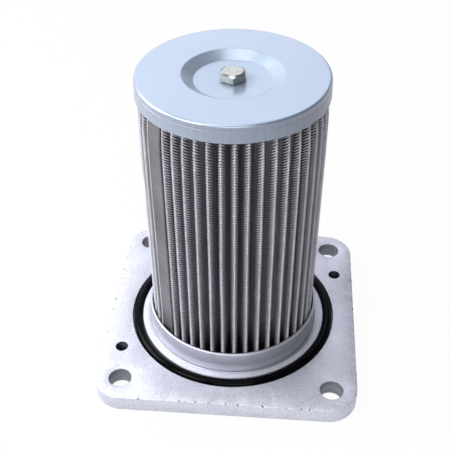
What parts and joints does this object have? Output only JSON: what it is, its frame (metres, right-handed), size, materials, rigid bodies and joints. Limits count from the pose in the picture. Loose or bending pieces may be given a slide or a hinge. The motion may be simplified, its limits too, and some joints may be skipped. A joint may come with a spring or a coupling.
{
  "type": "hydraulic suction strainer",
  "caption": "Flange-mounted suction strainer: a pleated wire-mesh cylinder between a square aluminium flange with a seal ring and a pressed, bolted end cap.",
  "frame": {"origin": "centre of the flange plate's underside", "axes": "+Z along the element, from the plate's underside to the bolt in the cap; +X and +Y along the sides of the plate; the picture looks from -Y and a little +X"},
  "size_m": [0.195, 0.195, 0.2299],
  "materials": {
    "cast_aluminium": "shot-blasted casting with turned faces, uncoated",
    "black_rubber": "smooth moulded nitrile rubber",
    "cured_adhesive": "cast epoxy adhesive",
    "core_steel": "punched and rolled sheet, zinc plated",
    "steel_wire_cloth": "woven steel wire",
    "strip_steel": "plain rolled strip",
    "blue_enamel": "pale blue baked enamel",
    "zinc_plated_steel": "bright zinc plating"
  },
  "bodies": {
    "root": {"flange_plate": "cast_aluminium", "seal_ring": "black_rubber", "lower_adhesive_bed": "cured_adhesive", "core_tube": "core_steel", "pleated_mesh": "steel_wire_cloth", "seam_strip": "strip_steel", "upper_adhesive_bed": "cured_adhesive", "core_bridge": "core_steel", "bridge_nut": "zinc_plated_steel", "end_cap": "blue_enamel", "cap_bolt": "zinc_plated_steel"}
  },
  "joints": []
}
